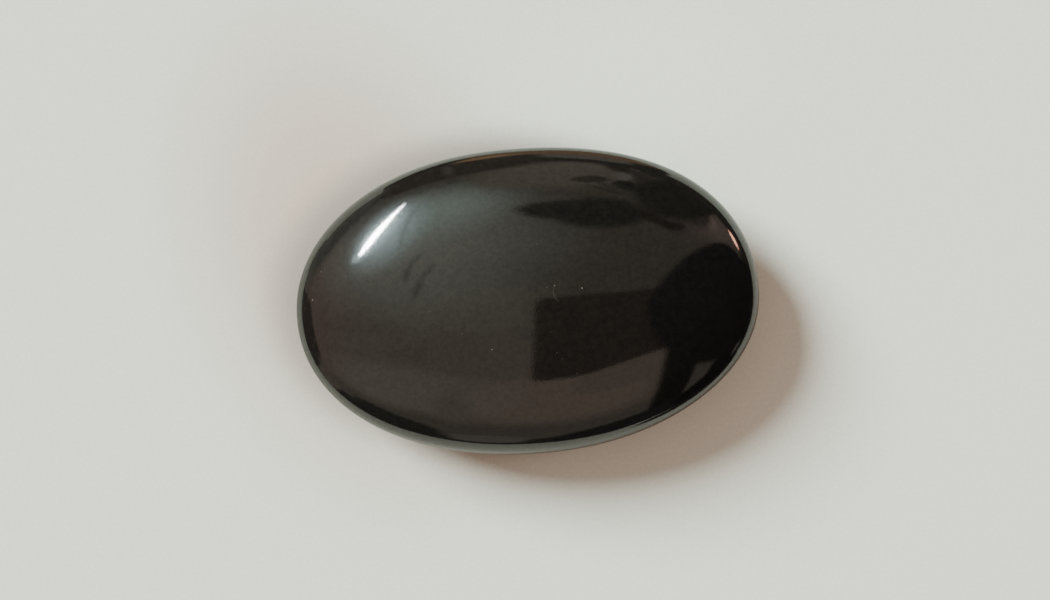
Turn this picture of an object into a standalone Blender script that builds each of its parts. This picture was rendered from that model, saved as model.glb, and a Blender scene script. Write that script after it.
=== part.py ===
"""Black tourmaline palm stone: one solid, polished oval, worn flat enough underneath to lie still.

The stone is a unit sphere that formulas reshape. A point of the sphere has a reach, its distance
from the upright axis, a bearing, its angle around that axis, and a rise, its height. The reach and
the bearing place it in the stone's plan, a squarish oval that is slightly out of round, and the
rise places it between the belly and the crown. Lengths are metres. The long axis lies along X, the
stone rests on Z = 0, and the origin is under the middle of it.
"""

import math

import bmesh
import bpy

# Driving dimensions.
LENGTH = 0.064
WIDTH = 0.0423
CROWN_HEIGHT = 0.0087  # from the widest line up to the top
BELLY_DEPTH = 0.0083  # from the widest line down to where the belly would end without its rest flat
REST_FLAT_DEPTH = 0.00012  # how much of the belly is worn away

# The plan is |x/a|^n + |y/b|^n = 1: 2 is an ellipse, and more is squarer.
PLAN_SQUARENESS = 2.12
# The stone's own irregularity, as (waves round the rim, height of a wave, bearing of a crest).
# Outline waves are a share of the radius. Fullness waves are a share of the dome's squared height:
# where fullness is below 0 the stone slopes off earlier, and its rim is thinner.
OUTLINE_WAVES = (
    (5, 0.0026, math.radians(-22)),
    (6, 0.0020, math.radians(-11)),
)
RIM_FULLNESS = -0.10
FULLNESS_WAVES = (
    (1, 0.15, math.radians(-90)),
    (2, 0.08, math.radians(15)),
    (3, 0.12, math.radians(17)),
)

# Facets round the stone, and from its top to its underside.
FACETS_ROUND = 96
FACETS_DOWN = 48

NAME = "palm_stone"
STONE_COLOUR = (0.012, 0.012, 0.011, 1.0)
STONE_ROUGHNESS = 0.08
STONE_IOR = 1.63


def clear_scene():
    """Removes the objects that a new file starts with."""
    for thing in list(bpy.data.objects):
        bpy.data.objects.remove(thing, do_unlink=True)


def polished_black():
    """The stone's material: black, with a deep polish."""
    material = bpy.data.materials.new("polished_black_tourmaline")
    material.use_nodes = True
    shader = material.node_tree.nodes["Principled BSDF"]
    shader.inputs["Base Color"].default_value = STONE_COLOUR
    shader.inputs["Metallic"].default_value = 0.0
    shader.inputs["Roughness"].default_value = STONE_ROUGHNESS
    shader.inputs["IOR"].default_value = STONE_IOR
    return material


def plan_radius(reach, bearing):
    """Distance from the axis, as a share of the half length or half width, at a reach and bearing.

    It is the reach times the squarish oval's radius and the outline waves. Each fades towards the
    middle as its own power of the reach, so the crown is smooth.
    """
    squareness = PLAN_SQUARENESS
    corners = abs(math.cos(bearing)) ** squareness + abs(math.sin(bearing)) ** squareness
    radius = 1 + reach**4 * (corners ** (-1 / squareness) - 1)
    for waves, height, crest in OUTLINE_WAVES:
        radius += reach**waves * height * math.cos(waves * (bearing - crest))
    return reach * radius


def fullness(reach, bearing):
    """How full the dome is, as a factor on its height: 1 at the middle, by waves near the rim."""
    full = 1 + RIM_FULLNESS * reach**2
    for waves, height, crest in FULLNESS_WAVES:
        full += height * reach ** max(waves, 3) * math.cos(waves * (bearing - crest))
    return math.sqrt(full)


def shaped(point):
    """Where a point of the unit sphere goes, from the widest line: (x, y, z)."""
    reach = min(math.hypot(point.x, point.y), 1.0)
    bearing = math.atan2(point.y, point.x)
    rise = point.z
    radius = plan_radius(reach, bearing)
    half_height = (CROWN_HEIGHT + BELLY_DEPTH) / 2 + rise * (CROWN_HEIGHT - BELLY_DEPTH) / 2
    return (
        LENGTH / 2 * radius * math.cos(bearing),
        WIDTH / 2 * radius * math.sin(bearing),
        half_height * rise * fullness(reach, bearing),
    )


def fit_plan(body):
    """Brings the plan to the driving length and width, centred on the axis."""
    for axis, size in ((0, LENGTH), (1, WIDTH)):
        places = [vertex.co[axis] for vertex in body.verts]
        low = min(places)
        high = max(places)
        for vertex in body.verts:
            vertex.co[axis] = (vertex.co[axis] - (low + high) / 2) * size / (high - low)


def cut_rest_flat(body):
    """Cuts the belly level and closes the cut with one flat face, which comes to lie on Z = 0."""
    level = REST_FLAT_DEPTH - BELLY_DEPTH
    cut = bmesh.ops.bisect_plane(
        body,
        geom=body.verts[:] + body.edges[:] + body.faces[:],
        plane_co=(0, 0, level),
        plane_no=(0, 0, -1),
        clear_outer=True,
    )
    rim = [piece for piece in cut["geom_cut"] if isinstance(piece, bmesh.types.BMEdge)]
    bmesh.ops.contextual_create(body, geom=rim)
    bmesh.ops.translate(body, verts=body.verts[:], vec=(0, 0, -level))


def build_stone():
    """Models the stone and puts it in its own collection."""
    body = bmesh.new()
    bmesh.ops.create_uvsphere(
        body, u_segments=FACETS_ROUND, v_segments=FACETS_DOWN, radius=1.0
    )
    for vertex in body.verts:
        vertex.co = shaped(vertex.co)
    fit_plan(body)
    cut_rest_flat(body)
    bmesh.ops.recalc_face_normals(body, faces=body.faces[:])
    mesh = bpy.data.meshes.new(NAME)
    body.to_mesh(mesh)
    body.free()
    mesh.shade_smooth()
    mesh.set_sharp_from_angle(angle=math.radians(30))
    mesh.materials.append(polished_black())
    collection = bpy.data.collections.new("black_tourmaline_palm_stone")
    bpy.context.scene.collection.children.link(collection)
    collection.objects.link(bpy.data.objects.new(NAME, mesh))


clear_scene()
build_stone()
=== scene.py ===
"""Black tourmaline palm stone: one dark, deeply polished oval stone, at rest on a pale studio floor.

Run as a script, this add-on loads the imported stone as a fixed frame, makes the visible stone over
it, and sets up the paper that it rests on, the studio around it, the softbox and the camera.
Lengths are metres in the frame's own axes: X runs along the stone, and the stone rests on Z = 0.
"""

import math
from collections import namedtuple

import bpy
import numpy as np
from bpy.props import FloatProperty, FloatVectorProperty, PointerProperty
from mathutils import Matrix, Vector


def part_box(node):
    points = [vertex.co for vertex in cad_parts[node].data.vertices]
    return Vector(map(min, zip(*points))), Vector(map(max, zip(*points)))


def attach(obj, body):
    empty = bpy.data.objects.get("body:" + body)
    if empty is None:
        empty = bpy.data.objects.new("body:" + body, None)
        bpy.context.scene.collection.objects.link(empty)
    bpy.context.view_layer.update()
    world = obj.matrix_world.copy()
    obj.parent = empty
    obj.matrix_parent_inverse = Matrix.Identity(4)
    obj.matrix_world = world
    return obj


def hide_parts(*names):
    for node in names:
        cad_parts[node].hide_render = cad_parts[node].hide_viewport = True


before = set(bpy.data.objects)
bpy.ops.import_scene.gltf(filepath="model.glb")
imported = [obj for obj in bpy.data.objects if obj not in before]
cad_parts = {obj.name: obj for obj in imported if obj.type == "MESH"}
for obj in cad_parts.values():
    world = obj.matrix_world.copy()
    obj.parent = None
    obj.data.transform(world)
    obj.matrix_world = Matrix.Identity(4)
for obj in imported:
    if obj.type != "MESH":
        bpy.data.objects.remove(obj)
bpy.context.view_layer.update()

bl_info = {
    "name": "Palm Stone",
    "version": (1, 0, 0),
    "blender": (4, 5, 0),
    "location": "3D View > Sidebar > Palm Stone",
    "description": "Makes a polished black palm stone and a plain studio around it",
    "category": "Add Mesh",
}

MM = 0.001
TINY = 1e-6  # keeps a division away from 0

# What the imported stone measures.
LOWEST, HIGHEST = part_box("palm_stone")
LENGTH = HIGHEST.x - LOWEST.x
WIDTH = HIGHEST.y - LOWEST.y
THICKNESS = HIGHEST.z - LOWEST.z

# The stone's form: a unit sphere, reshaped by the same formulas as the faceted solid.
REST_FLAT_DEPTH = 0.12 * MM
GIRDLE_HEIGHT = 8.18 * MM
PLAN_SQUARENESS = 2.12
SQUARENESS_FADE = 4  # the power of the reach by which it fades towards the middle
# The stone's own irregularity, as (waves round the rim, height of a wave, bearing of a crest).
OUTLINE_WAVES = (
    (5, 0.0026, math.radians(-22)),
    (6, 0.0020, math.radians(-11)),
)
RIM_FULLNESS = -0.10
FULLNESS_WAVES = (
    (1, 0.15, math.radians(-90)),
    (2, 0.08, math.radians(15)),
    (3, 0.12, math.radians(17)),
)
LEAST_WAVE_FADE = 3  # a wave fades as the power of its own number of waves, or at least this one
REST_EDGE_SOFTNESS = 0.02 * MM  # how far the edge of the rest flat is rounded over
SPOKES = 432
RINGS = 228

# Pale dots on the crown: grains of dust, and pin-prick pits whose glints are painted pale.
Grain = namedtuple("Grain", "x y radius paleness")
GRAIN_HEART = 0.4  # the share of a grain's radius that is at its full paleness
GRAINS = (
    Grain(7.31 * MM, 1.12 * MM, 0.11 * MM, 0.33),
    Grain(2.69 * MM, 1.62 * MM, 0.09 * MM, 0.11),
    Grain(3.71 * MM, 1.75 * MM, 0.12 * MM, 0.17),
    Grain(2.72 * MM, -4.36 * MM, 0.09 * MM, 0.05),
    Grain(3.30 * MM, -7.21 * MM, 0.11 * MM, 0.06),
    Grain(3.12 * MM, -7.47 * MM, 0.09 * MM, 0.04),
    Grain(3.90 * MM, -8.04 * MM, 0.09 * MM, 0.04),
    Grain(8.16 * MM, -6.81 * MM, 0.07 * MM, 0.04),
    Grain(5.78 * MM, -10.16 * MM, 0.09 * MM, 0.09),
    Grain(0.56 * MM, -6.80 * MM, 0.08 * MM, 0.03),
    Grain(1.83 * MM, 7.43 * MM, 0.10 * MM, 0.07),
    Grain(-9.04 * MM, -3.69 * MM, 0.08 * MM, 0.11),
    Grain(-5.24 * MM, -6.08 * MM, 0.10 * MM, 0.25),
    Grain(-13.06 * MM, -0.40 * MM, 0.08 * MM, 0.08),
    Grain(-29.18 * MM, 2.45 * MM, 0.13 * MM, 0.17),
    Grain(-27.68 * MM, 6.21 * MM, 0.12 * MM, 0.09),
    Grain(-24.14 * MM, 5.29 * MM, 0.10 * MM, 0.07),
    Grain(18.56 * MM, 15.21 * MM, 0.09 * MM, 0.07),
    Grain(18.33 * MM, 14.19 * MM, 0.09 * MM, 0.06),
)
# One fine hairline that runs round part of a circle, between two bearings.
HAIRLINE_CENTRE = (5.06 * MM, 0.86 * MM)
HAIRLINE_RADIUS = 1.56 * MM
HAIRLINE_HALF_WIDTH = 0.05 * MM
HAIRLINE_BEARINGS = (math.radians(146), math.radians(240))
HAIRLINE_PALENESS = 0.05
HAIRLINE_HEART = 0.3  # the share of its half width that is at its full paleness
HAIRLINE_FADE = 0.1  # how softly its ends fade, as a change in the cosine of the bearing
PALE_ROUGHNESS = 0.6  # how much rougher a grain or the hairline is than the polish

# Patchy noise: its detail and roughness, and the span of its values that is spread over 0 to 1.
Patches = namedtuple("Patches", "detail roughness low high")
CLOUD_PATCHES = Patches(5, 0.65, 0.3, 0.7)
SMEAR_PATCHES = Patches(3, 0.55, 0.45, 0.75)
SMEAR_SIZE = 9 * MM
FILM_PATCHES = Patches(4, 0.7, 0.3, 0.7)
FILM_ROUGHNESS = 0.08
# The orange peel is noise too, used as it is.
PEEL_DETAIL = 1.5
PEEL_ROUGHNESS = 0.5

# The camera looks straight down from about 20 cm, and is turned a little off the stone's length.
VIEW_TURN = math.radians(-4.58)
VIEW_RIGHT = (math.cos(VIEW_TURN), math.sin(VIEW_TURN), 0.0)
VIEW_UP = (-math.sin(VIEW_TURN), math.cos(VIEW_TURN), 0.0)
CAMERA_OVER_GIRDLE = 201.8 * MM
CAMERA_PLACE = (-0.35 * MM, 0.14 * MM)
CAMERA_LENS = 50.0
CAMERA_SENSOR = 36.0

# The studio, as the stone sees it. A direction is (right, up) in degrees from overhead, along the
# camera's own right and up, so the horizon is a circle of 90 degrees. Later cards lie over earlier
# ones. A card's turn is in degrees too, and so is its edge, which is how wide its soft edge is.
Card = namedtuple("Card", "name place half_size turn squareness edge colour")
STUDIO_LEVEL = 0.93
CEILING_COLOUR = (0.42, 0.365, 0.29)
FOOT_COLOUR = (0.14, 0.12, 0.10)  # the foot of the walls, and what lies beyond the sheet
FOOT_SPAN = (79, 84)
CARDS = (
    Card("rosy wall", (-70, 0), (34, 44), 0, 2, 34, (0.73, 0.505, 0.42)),
    Card("low wall", (0, -68), (62, 32), 0, 2, 20, (0.46, 0.395, 0.32)),
    Card("plain ceiling", (-14, -3), (19, 13), -15, 2, 14, (0.71, 0.62, 0.50)),
    Card("rosy shelf", (8, -42), (27, 17), 0, 2, 14, (0.89, 0.675, 0.54)),
    Card("grey shelf", (-30, -36), (26, 15), -6, 2, 14, (0.92, 0.775, 0.64)),
    Card("grey column", (-15, -46), (5, 12), 0, 2, 6, (0.72, 0.62, 0.50)),
    Card("faded ceiling", (36, 22), (24, 24), 0, 2, 30, (0.40, 0.335, 0.27)),
    Card("wide glow", (-30.5, 28.5), (25, 23.5), -20, 2, 47, (1.42, 1.45, 1.24)),
    Card("upper sheen", (-20, 45), (10, 12.7), -45, 2, 20, (1.77, 2.10, 1.83)),
    Card("near glow", (-34.3, 36.2), (7.6, 13.6), -9, 2, 15.2, (4.0, 5.1, 5.1)),
    Card("inner glow", (-36.2, 36.7), (3.6, 9.5), -20, 2, 7.2, (7.6, 9.8, 10.1)),
    Card("foot glow", (-41.3, 24.6), (2.0, 2.9), -30, 2, 3.4, (6.6, 8.0, 7.9)),
    Card("sheen's edge", (-26.6, 45.6), (0.35, 9), -9, 2, 1, (1.75, 2.10, 1.90)),
    Card("sheen's lower edge", (-27.8, 29.5), (0.35, 8), -1, 2, 1, (1.60, 1.90, 1.72)),
    Card("first streak", (-23.4, 18.2), (0.5, 3.4), -22, 2, 0.8, (0.74, 0.77, 0.67)),
    Card("first streak's end", (-24.8, 12.4), (0.7, 3.4), -6, 2, 1.0, (0.60, 0.61, 0.52)),
    Card("second streak", (-20.4, 12.6), (0.6, 4.0), -23, 2, 0.9, (0.64, 0.63, 0.55)),
    Card("second streak's end", (-22.0, 5.6), (0.8, 3.4), -12, 2, 1.3, (0.50, 0.49, 0.41)),
    Card("faint shelf", (-8, -19.3), (11.5, 7.4), -17, 8, 1, (0.67, 0.57, 0.455)),
    Card("faint shelf's left", (-37, -15), (16, 5), 0, 2, 8, (0.76, 0.62, 0.50)),
    Card("far room", (3, 68), (16, 12), 0, 3, 8, (0.74, 0.64, 0.50)),
    Card("pink wall", (56, 40), (19, 11), 15, 2, 12, (0.72, 0.53, 0.45)),
    Card("pink spot", (51, 41.5), (6, 5), 15, 2, 6, (1.05, 0.78, 0.68)),
    Card("square flag", (17.2, -14.3), (15.1, 15.6), 3, 16, 1.6, (0.18, 0.136, 0.106)),
    Card("low shelf", (31.8, -30.2), (20, 6), 17, 4, 1, (0.75, 0.59, 0.475)),
    Card("round flag's tail", (5, 41.8), (8.4, 5.4), -8, 1.7, 2.4, (0.15, 0.135, 0.115)),
    Card("round flag", (12.5, 40.2), (9.6, 8.7), -10, 2, 4, (0.125, 0.107, 0.092)),
    Card("tall flag's shade", (39.8, 68), (17, 32), -6, 3, 4, (0.25, 0.195, 0.165)),
    Card("strap's shade", (27.5, 46.5), (6.5, 8.5), -20, 2, 5, (0.16, 0.125, 0.105)),
    Card("strap", (25.5, 36.5), (8, 2.2), -38, 3, 2, (0.126, 0.09, 0.08)),
    Card("strap's end", (31, 34), (4, 2.4), 10, 2, 2, (0.126, 0.09, 0.08)),
    Card("tall flag", (47.6, 61.8), (29, 14.2), 32, 3, 3, (0.105, 0.092, 0.077)),
    Card("far corner", (19, 79), (4.5, 8), 8, 2, 4, (0.18, 0.14, 0.115)),
    Card("smudge", (18.9, 58.8), (3.5, 3.9), 10, 2, 2, (0.125, 0.10, 0.09)),
    Card("pale diamond", (19, 66.8), (2.8, 4.6), -8, 1.3, 1.0, (0.80, 0.70, 0.62)),
    Card("far lamp", (25, 79), (2, 3), 25, 2, 2, (0.80, 0.70, 0.62)),
    Card("hook", (10.8, 62.3), (4.3, 2.8), 12, 2, 1.5, (0.24, 0.20, 0.16)),
    Card("hook's tail", (14, 57.2), (6.0, 0.9), -60, 2, 1.2, (0.31, 0.26, 0.21)),
    Card("hook's lower tail", (14, 54.4), (5.4, 1.0), -34, 2, 1.2, (0.30, 0.26, 0.21)),
    Card("great flag", (58, -6), (34.4, 35.2), 0, 1.8, 3, (0.063, 0.049, 0.056)),
    Card("great flag's arm", (40, -47), (5.8, 25), 9, 6, 2, (0.059, 0.051, 0.046)),
    Card("great flag's leg", (65, -50), (9.5, 13), 8, 3, 3, (0.06, 0.054, 0.05)),
)
# Cards near the horizon. Their place is (bearing from the camera's right, degrees from overhead),
# and their first half size points outwards.
LOW_CARDS = (
    Card("foot, top", (82, 94), (7, 14), 0, 3, 3, (0.65, 0.57, 0.46)),
    Card("foot, upper left", (143, 88), (9, 38), 0, 3, 4, (0.44, 0.42, 0.36)),
    Card("foot, left", (166, 86), (9, 10), 0, 3, 4, (0.58, 0.45, 0.37)),
    Card("foot, lower left", (214, 86), (9, 10), 0, 3, 4, (0.55, 0.45, 0.35)),
    Card("foot, bottom", (265, 81.5), (7, 12), 0, 3, 3, (0.60, 0.55, 0.46)),
    Card("flag, left", (190, 82), (11, 20), 0, 4, 4, (0.16, 0.115, 0.10)),
    Card("flag, near left", (240, 82), (13, 20), 0, 3, 4, (0.11, 0.10, 0.09)),
    Card("flag, near right", (297, 86), (12, 31), 0, 3, 4, (0.09, 0.085, 0.085)),
    Card("flag, right", (318, 87), (12, 20), 0, 3, 4, (0.045, 0.04, 0.038)),
    Card("flag, far right", (352, 80), (13, 34), 0, 4, 4, (0.06, 0.05, 0.05)),
    Card("streak, right", (332, 87), (2.6, 5), 0, 2, 3, (0.50, 0.46, 0.40)),
    Card("flag, far left", (107, 86), (13, 24), 0, 4, 5, (0.217, 0.165, 0.128)),
    Card("flag's gap, far left", (106, 85), (9, 1.3), 0, 3, 2, (0.43, 0.35, 0.29)),
    Card("streak, left", (146, 80), (8, 28), 0, 2.4, 8, (0.395, 0.375, 0.33)),
    Card("table's edge", (84, 106), (10, 34), 0, 3, 4, (0.75, 0.50, 0.30)),
    Card("table's lit edge", (99, 100), (4, 9), 0, 2, 3, (1.30, 0.80, 0.45)),
    Card("warm lamp", (26.6, 82.7), (2.4, 6.4), 0, 2, 2, (18, 9.0, 6.2)),
)
# The key light: a leaf-shaped strip, blunt at its first end and drawn out to a point at the other.
STRIP_ENDS = ((-41.0, 24.3), (-30.5, 54.9))
STRIP_HALF_WIDTH = 1.35
STRIP_BLUNTNESS = 0.8
STRIP_THINNING = 1.5
STRIP_SOFTNESS = 0.36
STRIP_COLOUR = (260.0, 272.0, 272.0)
# What lights the floor: an even warm room, and a round cool softbox behind the key strip.
ROOM_COLOUR = (0.455, 0.345, 0.27)
SOFTBOX_PLACE = (-47.9, 33.7)
SOFTBOX_DISTANCE = 12.0
SOFTBOX_DIAMETER = 5.8
SOFTBOX_WATTS = 3800.0
SOFTBOX_TINT = (0.92, 1.05, 0.96)
BACKDROP_COLOUR = (1.35, 1.30, 1.20)
# The stone rests on pale paper. The floor is what the camera sees. Reflections see one sheet of it
# instead, right under the stone, and beyond the sheet the foot of the walls.
SHEET_CORNERS = (
    (-107 * MM, -245 * MM),
    (98 * MM, -245 * MM),
    (98 * MM, 150 * MM),
    (52 * MM, 64 * MM),
    (36 * MM, 45 * MM),
    (22 * MM, 40 * MM),
    (8 * MM, 42 * MM),
    (-34 * MM, 47 * MM),
    (-90 * MM, 150 * MM),
    (-107 * MM, 150 * MM),
)
SHEET_HEIGHT = 0.0
FLOOR_HEIGHT = -0.01 * MM
FLOOR_HALF_SIZE = 3.0
PAPER_ROUGHNESS = 0.9
PAPER_SPECULAR = 0.2
# The paper's grain: its tone is multiplied by the share times the noise, plus the rest.
PAPER_GRAIN_SIZE = 0.45 * MM
PAPER_GRAIN_DETAIL = 3
PAPER_GRAIN_ROUGHNESS = 0.6
PAPER_GRAIN_SHARE = 0.24
PAPER_GRAIN_REST = 0.88
# How the paper is toned: cards of painted light and painted shade laid on it, and dark patches.
# Places, sizes and edges are in millimetres.
FLOOR_MARKS = (
    # painted shade: darker, warmer paper to the left of the stone
    Card("painted warm shade", (-24, 8), (19, 29), 18, 2, 27, (0.71, 0.575, 0.505)),
    # painted light: a brighter patch on the paper up and to the right of the stone
    Card("painted pool of light", (18, 31), (17, 10), 0, 2, 11, (0.98, 1.0, 0.96)),
    # painted shade: darker, warmer paper close round the stone
    Card("painted shade round the stone", (-6, 1.5), (30.5, 22.7), 0, 2, 6.2, (0.43, 0.37, 0.345)),
)
SHEET_MARKS = (
    # painted light: a brighter patch on the sheet to the upper right
    Card("painted pool of light", (45, 36), (60, 24), 0, 2, 18, (0.80, 0.83, 0.78)),
    Card("shade beside the stone", (-11, -1), (36, 24), 0, 2, 10, (0.38, 0.36, 0.325)),
    # two dark patches on the sheet, where reflections see it
    Card("dark patch, left", (-100, 50), (36, 14), -31, 2, 2, (0.22, 0.18, 0.16)),
    Card("dark patch, lower right", (87, -97), (63, 36), -48, 2.5, 4, (0.04, 0.035, 0.035)),
)

# A Mix node's sockets for colours, by number, because those for plain numbers share their names.
MIX_FACTOR = 0
MIX_FIRST = 6
MIX_SECOND = 7
MIX_RESULT = 2


class Signal:
    """One output socket, whose arithmetic adds Math nodes: shader maths then reads as Python."""

    def __init__(self, tree, socket=None):
        self.tree = tree
        self.socket = socket

    def node(self, kind, settings=None, values=None, output=0):
        """Adds one node: its settings first, then its sockets' values, or links from Signals."""
        made = self.tree.nodes.new(kind)
        for name, setting in (settings or {}).items():
            setattr(made, name, setting)
        for name, value in (values or {}).items():
            if isinstance(value, Signal):
                self.tree.links.new(value.socket, made.inputs[name])
            else:
                made.inputs[name].default_value = value
        return Signal(self.tree, made.outputs[output])

    def math(self, operation, *values):
        """A Math node's result from numbers or Signals."""
        return self.node("ShaderNodeMath", {"operation": operation}, dict(enumerate(values)))

    def vector(self, operation, *values, output=0):
        """A Vector Math node's result from vectors or Signals."""
        settings = {"operation": operation}
        return self.node("ShaderNodeVectorMath", settings, dict(enumerate(values)), output)

    def scaled(self, factor):
        """This colour or vector, times a factor."""
        values = {"Vector": self, "Scale": factor}
        return self.node("ShaderNodeVectorMath", {"operation": "SCALE"}, values)

    def mix(self, first, second):
        """The colour first where this is 0, and second where it is 1."""
        values = {MIX_FACTOR: self, MIX_FIRST: first, MIX_SECOND: second}
        return self.node("ShaderNodeMix", {"data_type": "RGBA"}, values, MIX_RESULT)

    def step(self, low, high):
        """0 below low, 1 above high, and smooth between them."""
        settings = {"interpolation_type": "SMOOTHSTEP"}
        values = {"Value": self, "From Min": low, "From Max": high}
        return self.node("ShaderNodeMapRange", settings, values)

    def __add__(self, other):
        return self.math("ADD", self, other)

    __radd__ = __add__

    def __sub__(self, other):
        return self.math("SUBTRACT", self, other)

    def __rsub__(self, other):
        return self.math("SUBTRACT", other, self)

    def __mul__(self, other):
        return self.math("MULTIPLY", self, other)

    __rmul__ = __mul__

    def __truediv__(self, other):
        return self.math("DIVIDE", self, other)

    def __pow__(self, other):
        return self.math("POWER", self, other)

    def __abs__(self):
        return self.math("ABSOLUTE", self)


def opaque(colour):
    """A colour with full alpha, as colour sockets take it."""
    return (*colour, 1.0)


# ----------------------------------------------------------------------------- the stone's surface


def plan_radius(reach, bearing):
    """Distance from the axis, as a share of the half length or width.

    It is the reach times the squarish oval's radius, which is |x|^n + |y|^n = 1 in polar form,
    and the outline waves. Each fades towards the middle as its own power of the reach.
    """
    squareness = PLAN_SQUARENESS
    corners = np.abs(np.cos(bearing)) ** squareness + np.abs(np.sin(bearing)) ** squareness
    radius = 1 + reach**SQUARENESS_FADE * (corners ** (-1 / squareness) - 1)
    for waves, height, crest in OUTLINE_WAVES:
        radius = radius + reach**waves * height * np.cos(waves * (bearing - crest))
    return reach * radius


def fullness(reach, bearing):
    """Factor on the dome's height: the root of 1 plus the rim's fullness and its waves."""
    full = 1 + RIM_FULLNESS * reach**2
    for waves, height, crest in FULLNESS_WAVES:
        fade = reach ** max(waves, LEAST_WAVE_FADE)
        full = full + height * fade * np.cos(waves * (bearing - crest))
    return np.sqrt(full)


def centred(places, size):
    """The places, scaled and moved so that they span the size about 0."""
    low = places.min()
    high = places.max()
    return (places - (low + high) / 2) * size / (high - low)


def stone_surface(polar, bearing):
    """Points of the stone at a polar angle from its top and a bearing round its upright axis.

    The sine of the polar angle is the reach and its cosine the rise. Reach and bearing give the
    plan, which is brought to the frame's length and width. The rise times the half height and the
    fullness gives the height. The belly is levelled off softly at the rest flat.
    """
    reach = np.sin(polar)
    rise = np.cos(polar)
    radius = plan_radius(reach, bearing)
    x = centred(radius * np.cos(bearing), LENGTH)
    y = centred(radius * np.sin(bearing), WIDTH)
    crown = THICKNESS - GIRDLE_HEIGHT
    belly = GIRDLE_HEIGHT + REST_FLAT_DEPTH
    half_height = (crown + belly) / 2 + rise * (crown - belly) / 2
    z = GIRDLE_HEIGHT + half_height * rise * fullness(reach, bearing)
    z = (z + np.hypot(z, REST_EDGE_SOFTNESS)) / 2
    return np.stack((x, y, z - z.min()), axis=-1)


def closed_ball_faces(rings, spokes):
    """Faces of a ball whose vertices are the top, the rings between from top down, the underside.

    Triangles close the two poles and quads join each ring to the next, all facing outwards.
    """
    spoke = np.arange(spokes)
    following = (spoke + 1) % spokes
    first = 1 + np.arange(rings - 1)[:, None] * spokes
    quads = np.stack(
        (first + spoke, first + spokes + spoke, first + spokes + following, first + following),
        axis=-1,
    ).reshape(-1, 4)
    last = 1 + rings * spokes
    top = np.stack((np.zeros(spokes, int), 1 + spoke, 1 + following), axis=-1)
    lowest_ring = last - spokes
    under = np.stack(
        (np.full(spokes, last), lowest_ring + following, lowest_ring + spoke), axis=-1
    )
    return top.tolist() + quads.tolist() + under.tolist()


def stone_mesh(name):
    """The stone as a mesh: the surface on a grid of rings and spokes, with a point at each pole."""
    polar, bearing = np.meshgrid(
        np.linspace(0, math.pi, RINGS + 2), np.arange(SPOKES) * math.tau / SPOKES, indexing="ij"
    )
    points = stone_surface(polar, bearing)
    vertices = np.concatenate((points[0, :1], points[1:-1].reshape(-1, 3), points[-1, :1]))
    mesh = bpy.data.meshes.new(name)
    mesh.from_pydata(vertices.tolist(), [], closed_ball_faces(RINGS, SPOKES))
    mesh.shade_smooth()
    mesh.validate()
    return mesh


def crown_point(mesh, x, y):
    """The point of the crown at (x, y), at the height of its nearest vertex."""
    places = np.empty(len(mesh.vertices) * 3, np.float32)
    mesh.vertices.foreach_get("co", places)
    places = places.reshape(-1, 3)
    crown = places[places[:, 2] > GIRDLE_HEIGHT]
    nearest = crown[np.argmin(np.hypot(crown[:, 0] - x, crown[:, 1] - y))]
    return (x, y, float(nearest[2]))


# ------------------------------------------------------------------------------ the stone's finish


def dust_and_pit_glints(place, mesh):
    """Paleness of the dust grains, and the painted glints of the pits: each is a soft dot about its
    point of the crown.
    """
    paleness = 0.0
    for grain in GRAINS:
        centre = crown_point(mesh, grain.x, grain.y)
        away = place.vector("DISTANCE", place, centre, output="Value")
        dot = 1 - away.step(grain.radius * GRAIN_HEART, grain.radius)
        paleness = dot * grain.paleness + paleness
    return paleness


def hairline(place, mesh):
    """Paleness of the curved hairline: a thin ring about its centre, kept to one side of it."""
    centre = crown_point(mesh, *HAIRLINE_CENTRE)
    outward = place.vector("SUBTRACT", place, centre)
    away = outward.vector("LENGTH", outward, output="Value")
    off_ring = abs(away - HAIRLINE_RADIUS)
    ring = 1 - off_ring.step(HAIRLINE_HALF_WIDTH * HAIRLINE_HEART, HAIRLINE_HALF_WIDTH)
    start, end = HAIRLINE_BEARINGS
    middle = (start + end) / 2
    towards = (math.cos(middle), math.sin(middle), 0)
    heading = outward.vector("DOT_PRODUCT", outward, towards, output="Value") / away
    spread = math.cos((end - start) / 2)
    return ring * heading.step(spread, spread + HAIRLINE_FADE) * HAIRLINE_PALENESS


def noise(place, size, detail, roughness):
    """Cloudy noise from 0 to 1 whose lumps are about size across."""
    values = {"Vector": place, "Scale": 1 / size, "Detail": detail, "Roughness": roughness}
    return place.node("ShaderNodeTexNoise", {}, values)


def patchy(place, size, patches):
    """Patches about size across, from 0 between them to 1 in their middles."""
    return noise(place, size, patches.detail, patches.roughness).step(patches.low, patches.high)


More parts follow.
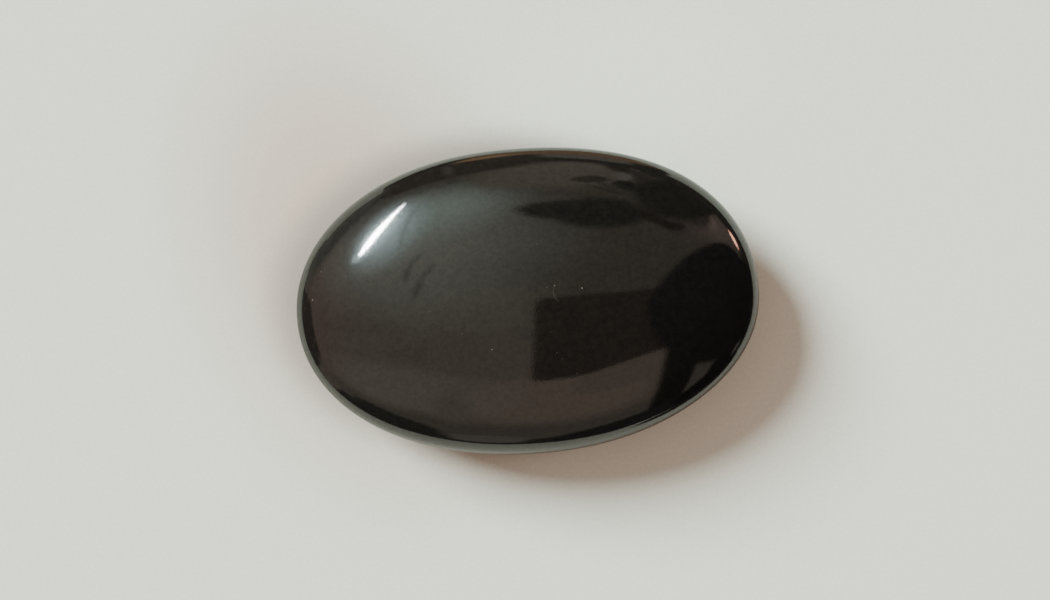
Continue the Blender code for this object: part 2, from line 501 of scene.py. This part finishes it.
def polished_black(look, mesh):
    """Black tourmaline with a deep polish: cloudy near-black, with fine orange peel, dust, and pits
    with painted glints.

    A broken film of oil from the hand, as a partial coat, mottles what it reflects.
    """
    material = bpy.data.materials.new("polished_black_tourmaline")
    material.use_nodes = True
    tree = material.node_tree
    shader = tree.nodes["Principled BSDF"]
    shader.inputs["IOR"].default_value = look.ior
    place = Signal(tree).node("ShaderNodeTexCoord", output="Object")

    cloud = patchy(place, look.mottle_size, CLOUD_PATCHES)
    black = cloud.mix(opaque(look.deep_colour), opaque(look.cloud_colour))
    paleness = dust_and_pit_glints(place, mesh) + hairline(place, mesh)
    colour = paleness.mix(black, opaque(look.grain_colour))
    tree.links.new(colour.socket, shader.inputs["Base Color"])

    smear = patchy(place, SMEAR_SIZE, SMEAR_PATCHES)
    roughness = look.roughness + smear * look.smear_roughness + paleness * PALE_ROUGHNESS
    tree.links.new(roughness.socket, shader.inputs["Roughness"])

    film = patchy(place, look.film_size, FILM_PATCHES) * look.film_weight
    tree.links.new(film.socket, shader.inputs["Coat Weight"])
    shader.inputs["Coat Roughness"].default_value = FILM_ROUGHNESS

    peel = noise(place, look.peel_size, PEEL_DETAIL, PEEL_ROUGHNESS)
    relief = {"Strength": 1.0, "Distance": look.peel_depth, "Height": peel}
    bump = peel.node("ShaderNodeBump", {}, relief)
    tree.links.new(bump.socket, shader.inputs["Normal"])
    return material


# -------------------------------------------------------------------------------------- the studio


def standing(card):
    """A low card, placed by (right, up) and turned so that its first side points outwards."""
    bearing, from_overhead = card.place
    angle = math.radians(bearing)
    place = (from_overhead * math.cos(angle), from_overhead * math.sin(angle))
    return card._replace(place=place, turn=bearing + card.turn)


def card_cover(right, up, card):
    """How much a card covers of a direction, or of a place on the paper, from 0 to 1.

    The card's outline is |x/a|^n + |y/b|^n = 1 in its own turned axes, with a soft edge.
    """
    turn = math.radians(card.turn)
    from_right = right - card.place[0]
    from_up = up - card.place[1]
    side = from_right * math.cos(turn) + from_up * math.sin(turn)
    rise = from_up * math.cos(turn) - from_right * math.sin(turn)
    half_side, half_rise = card.half_size
    power = card.squareness
    reach = (abs(side / half_side) ** power + abs(rise / half_rise) ** power) ** (1 / power)
    softness = card.edge / 2 / min(card.half_size)
    return 1 - reach.step(1 - softness, 1 + softness)


def strip_cover(right, up):
    """How much of a direction the key strip covers.

    Its half width goes as the share along it to the power of its bluntness, times what is left of
    the share to the power of its thinning.
    """
    (start_right, start_up), (end_right, end_up) = STRIP_ENDS
    length = math.hypot(end_right - start_right, end_up - start_up)
    ahead_right = (end_right - start_right) / length
    ahead_up = (end_up - start_up) / length
    from_right = right - start_right
    from_up = up - start_up
    share = (from_right * ahead_right + from_up * ahead_up) / length
    within = share.math("COMPARE", share, 0.5, 0.5)  # 1 where the share is from 0 to 1
    side = abs(from_right * ahead_up - from_up * ahead_right)
    at_broadest = STRIP_BLUNTNESS / (STRIP_BLUNTNESS + STRIP_THINNING)
    broadest = at_broadest**STRIP_BLUNTNESS * (1 - at_broadest) ** STRIP_THINNING
    shape = abs(share) ** STRIP_BLUNTNESS * abs(1 - share) ** STRIP_THINNING
    half_width = shape * (STRIP_HALF_WIDTH / broadest) + TINY
    return within * (1 - (side / half_width).step(1 - STRIP_SOFTNESS, 1 + STRIP_SOFTNESS))


def studio_world():
    """The surroundings: a room that lights evenly, and a backdrop for the camera.

    Polished surfaces see it in detail instead: a warm ceiling with soft lights and dark flags. The
    place of a direction there is its angle from overhead, laid off along its bearing.
    """
    world = bpy.data.worlds.new("studio")
    world.use_nodes = True
    tree = world.node_tree
    start = Signal(tree)
    heading = start.node("ShaderNodeTexCoord", output="Generated")
    east = heading.vector("DOT_PRODUCT", heading, VIEW_RIGHT, output="Value")
    north = heading.vector("DOT_PRODUCT", heading, VIEW_UP, output="Value")
    height = heading.vector("DOT_PRODUCT", heading, (0, 0, 1), output="Value")
    from_overhead = height.math("ARCCOSINE", height) * math.degrees(1)
    level = (east**2 + north**2) ** 0.5 + TINY
    right = from_overhead * east / level
    up = from_overhead * north / level
    colour = opaque(CEILING_COLOUR)
    for card in CARDS:
        colour = card_cover(right, up, card).mix(colour, opaque(card.colour))
    colour = from_overhead.step(*FOOT_SPAN).mix(colour, opaque(FOOT_COLOUR))
    for card in LOW_CARDS:
        colour = card_cover(right, up, standing(card)).mix(colour, opaque(card.colour))
    colour = strip_cover(right, up).mix(colour, opaque(STRIP_COLOUR))
    studio = start.node("ShaderNodeBackground", {}, {"Color": colour, "Strength": STUDIO_LEVEL})

    seen = start.node("ShaderNodeLightPath", output="Is Camera Ray")
    plain = seen.mix(opaque(ROOM_COLOUR), opaque(BACKDROP_COLOUR))
    room = start.node("ShaderNodeBackground", {}, {"Color": plain})
    mirrored = start.node("ShaderNodeLightPath", output="Is Glossy Ray")
    # A Mix Shader's sockets: the factor, what shows where it is 0, and what shows where it is 1.
    both = start.node("ShaderNodeMixShader", {}, {0: mirrored, 1: room, 2: studio})
    tree.links.new(both.socket, tree.nodes["World Output"].inputs["Surface"])
    bpy.context.scene.world = world


def direction(right, up):
    """The unit vector towards (right, up), in degrees from overhead along the camera's axes."""
    from_overhead = math.radians(math.hypot(right, up))
    bearing = math.atan2(up, right)
    level = Vector(VIEW_RIGHT) * math.cos(bearing) + Vector(VIEW_UP) * math.sin(bearing)
    return level * math.sin(from_overhead) + Vector((0, 0, math.cos(from_overhead)))


def place_softbox():
    """A round softbox that lights and shades the floor, and is left out of reflections."""
    data = bpy.data.lights.new("softbox", "AREA")
    data.shape = "DISK"
    data.size = SOFTBOX_DIAMETER
    data.energy = SOFTBOX_WATTS
    data.color = SOFTBOX_TINT
    softbox = bpy.data.objects.new("softbox", data)
    towards = direction(*SOFTBOX_PLACE)
    softbox.location = towards * SOFTBOX_DISTANCE
    softbox.rotation_euler = towards.to_track_quat("Z", "Y").to_euler()
    softbox.visible_camera = False
    softbox.visible_glossy = False
    bpy.context.scene.collection.objects.link(softbox)


def pale_paper(name, colour, marks):
    """Pale matt paper with a faint grain, toned by the cards laid on it: painted light and shade,
    and dark patches.
    """
    material = bpy.data.materials.new(name)
    material.use_nodes = True
    tree = material.node_tree
    shader = tree.nodes["Principled BSDF"]
    shader.inputs["Roughness"].default_value = PAPER_ROUGHNESS
    shader.inputs["Specular IOR Level"].default_value = PAPER_SPECULAR
    place = Signal(tree).node("ShaderNodeTexCoord", output="Object")
    east = place.vector("DOT_PRODUCT", place, (1 / MM, 0, 0), output="Value")
    north = place.vector("DOT_PRODUCT", place, (0, 1 / MM, 0), output="Value")
    tone = opaque(colour)
    for mark in marks:
        tone = card_cover(east, north, mark).mix(tone, opaque(mark.colour))
    grain = noise(place, PAPER_GRAIN_SIZE, PAPER_GRAIN_DETAIL, PAPER_GRAIN_ROUGHNESS)
    grained = tone.scaled(grain * PAPER_GRAIN_SHARE + PAPER_GRAIN_REST)
    tree.links.new(grained.socket, shader.inputs["Base Color"])
    return material


def level_sheet(name, corners, height):
    """A level sheet with the given corners, at a height."""
    mesh = bpy.data.meshes.new(name)
    mesh.from_pydata([(x, y, height) for x, y in corners], [], [range(len(corners))])
    sheet = bpy.data.objects.new(name, mesh)
    bpy.context.scene.collection.objects.link(sheet)
    return sheet


def place_camera():
    """The camera: straight above the stone, and turned a little off its length."""
    data = bpy.data.cameras.new("camera")
    data.lens = CAMERA_LENS
    data.sensor_width = CAMERA_SENSOR
    camera = bpy.data.objects.new("camera", data)
    camera.location = (*CAMERA_PLACE, GIRDLE_HEIGHT + CAMERA_OVER_GIRDLE)
    camera.rotation_euler = (0, 0, VIEW_TURN)
    bpy.context.scene.collection.objects.link(camera)
    bpy.context.scene.camera = camera


# ------------------------------------------------------------------------ properties and operators


class StoneLook(bpy.types.PropertyGroup):
    """The stone's finish."""

    deep_colour: FloatVectorProperty(
        name="Deep colour",
        description="Colour of most of the stone's body",
        subtype="COLOR",
        default=(0.0030, 0.0028, 0.0029),
        min=0,
        max=1,
    )
    cloud_colour: FloatVectorProperty(
        name="Cloud colour",
        description="Colour of the faint brown clouds in the stone",
        subtype="COLOR",
        default=(0.0062, 0.0058, 0.0050),
        min=0,
        max=1,
    )
    mottle_size: FloatProperty(
        name="Mottle size",
        description="Size of the faint clouds",
        default=1.0 * MM,
        min=0.01 * MM,
        subtype="DISTANCE",
        unit="LENGTH",
    )
    # the pale colour of dust, and the painted glint of a pit
    grain_colour: FloatVectorProperty(
        name="Grain colour",
        description="Colour of dust grains and pits",
        subtype="COLOR",
        default=(0.60, 0.56, 0.50),
        min=0,
        max=1,
    )
    roughness: FloatProperty(
        name="Roughness",
        description="Roughness of the polish where it is best",
        default=0.05,
        min=0,
        max=1,
        subtype="FACTOR",
    )
    smear_roughness: FloatProperty(
        name="Smear roughness",
        description="How much rougher the polish is where it is smeared",
        default=0.02,
        min=0,
        max=1,
        subtype="FACTOR",
    )
    peel_size: FloatProperty(
        name="Peel size",
        description="Size of the polish's finest unevenness",
        default=0.28 * MM,
        min=0.01 * MM,
        subtype="DISTANCE",
        unit="LENGTH",
    )
    peel_depth: FloatProperty(
        name="Peel depth",
        description="Depth of the polish's finest unevenness",
        default=0.0025 * MM,
        min=0,
        subtype="DISTANCE",
        unit="LENGTH",
    )
    film_size: FloatProperty(
        name="Film size",
        description="Size of the patches of the oily film",
        default=0.5 * MM,
        min=0.01 * MM,
        subtype="DISTANCE",
        unit="LENGTH",
    )
    film_weight: FloatProperty(
        name="Film weight",
        description="How much the thickest patches of film add to the polish",
        default=0.26,
        min=0,
        max=1,
        subtype="FACTOR",
    )
    ior: FloatProperty(
        name="IOR",
        description="Refractive index of tourmaline",
        default=1.62,
        min=1,
        max=3,
    )


class StageLook(bpy.types.PropertyGroup):
    """The studio's finish."""

    floor_colour: FloatVectorProperty(
        name="Floor colour",
        description="Colour of the paper that the stone rests on",
        subtype="COLOR",
        default=(0.92, 0.93, 0.88),
        min=0,
        max=1,
    )
    # painted shade: the sheet is the floor's paper, made darker in its colour
    sheet_colour: FloatVectorProperty(
        name="Sheet colour",
        description="Colour of the paper that reflections see",
        subtype="COLOR",
        default=(0.67, 0.655, 0.605),
        min=0,
        max=1,
    )


class PALM_STONE_OT_stone(bpy.types.Operator):
    """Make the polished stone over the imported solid"""

    bl_idname = "palm_stone.stone"
    bl_label = "Make Stone"

    def execute(self, context):
        mesh = stone_mesh("polished_palm_stone")
        mesh.materials.append(polished_black(context.scene.palm_stone_look, mesh))
        stone = bpy.data.objects.new("polished_palm_stone", mesh)
        context.scene.collection.objects.link(stone)
        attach(stone, "root")
        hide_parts("palm_stone")
        return {"FINISHED"}


class PALM_STONE_OT_stage(bpy.types.Operator):
    """Set up the paper, the studio around the stone, the softbox and the camera"""

    bl_idname = "palm_stone.stage"
    bl_label = "Set Stage"

    def execute(self, context):
        look = context.scene.palm_stone_stage
        sheet = level_sheet("sheet", SHEET_CORNERS, SHEET_HEIGHT)
        sheet.data.materials.append(pale_paper("sheet_paper", look.sheet_colour, SHEET_MARKS))
        sheet.visible_camera = False
        sheet.visible_diffuse = False
        sheet.visible_shadow = False
        far = FLOOR_HALF_SIZE
        corners = ((-far, -far), (far, -far), (far, far), (-far, far))
        floor = level_sheet("floor", corners, FLOOR_HEIGHT)
        floor.data.materials.append(pale_paper("floor_paper", look.floor_colour, FLOOR_MARKS))
        floor.visible_glossy = False
        studio_world()
        place_softbox()
        place_camera()
        context.scene.view_settings.view_transform = "AgX"
        return {"FINISHED"}


class PALM_STONE_PT_panel(bpy.types.Panel):
    """The steps, in the order in which they are run"""

    bl_idname = "PALM_STONE_PT_panel"
    bl_label = "Palm Stone"
    bl_space_type = "VIEW_3D"
    bl_region_type = "UI"
    bl_category = "Palm Stone"

    def draw(self, context):
        self.layout.operator(PALM_STONE_OT_stone.bl_idname)
        self.layout.operator(PALM_STONE_OT_stage.bl_idname)


CLASSES = (StoneLook, StageLook, PALM_STONE_OT_stone, PALM_STONE_OT_stage, PALM_STONE_PT_panel)


def register():
    """Registers the classes and gives every scene their settings."""
    for each in CLASSES:
        bpy.utils.register_class(each)
    bpy.types.Scene.palm_stone_look = PointerProperty(type=StoneLook)
    bpy.types.Scene.palm_stone_stage = PointerProperty(type=StageLook)


def unregister():
    """Takes away what register adds."""
    del bpy.types.Scene.palm_stone_stage
    del bpy.types.Scene.palm_stone_look
    for each in reversed(CLASSES):
        bpy.utils.unregister_class(each)


def main():
    register()
    bpy.ops.palm_stone.stone()
    bpy.ops.palm_stone.stage()


if __name__ == "__main__":
    main()
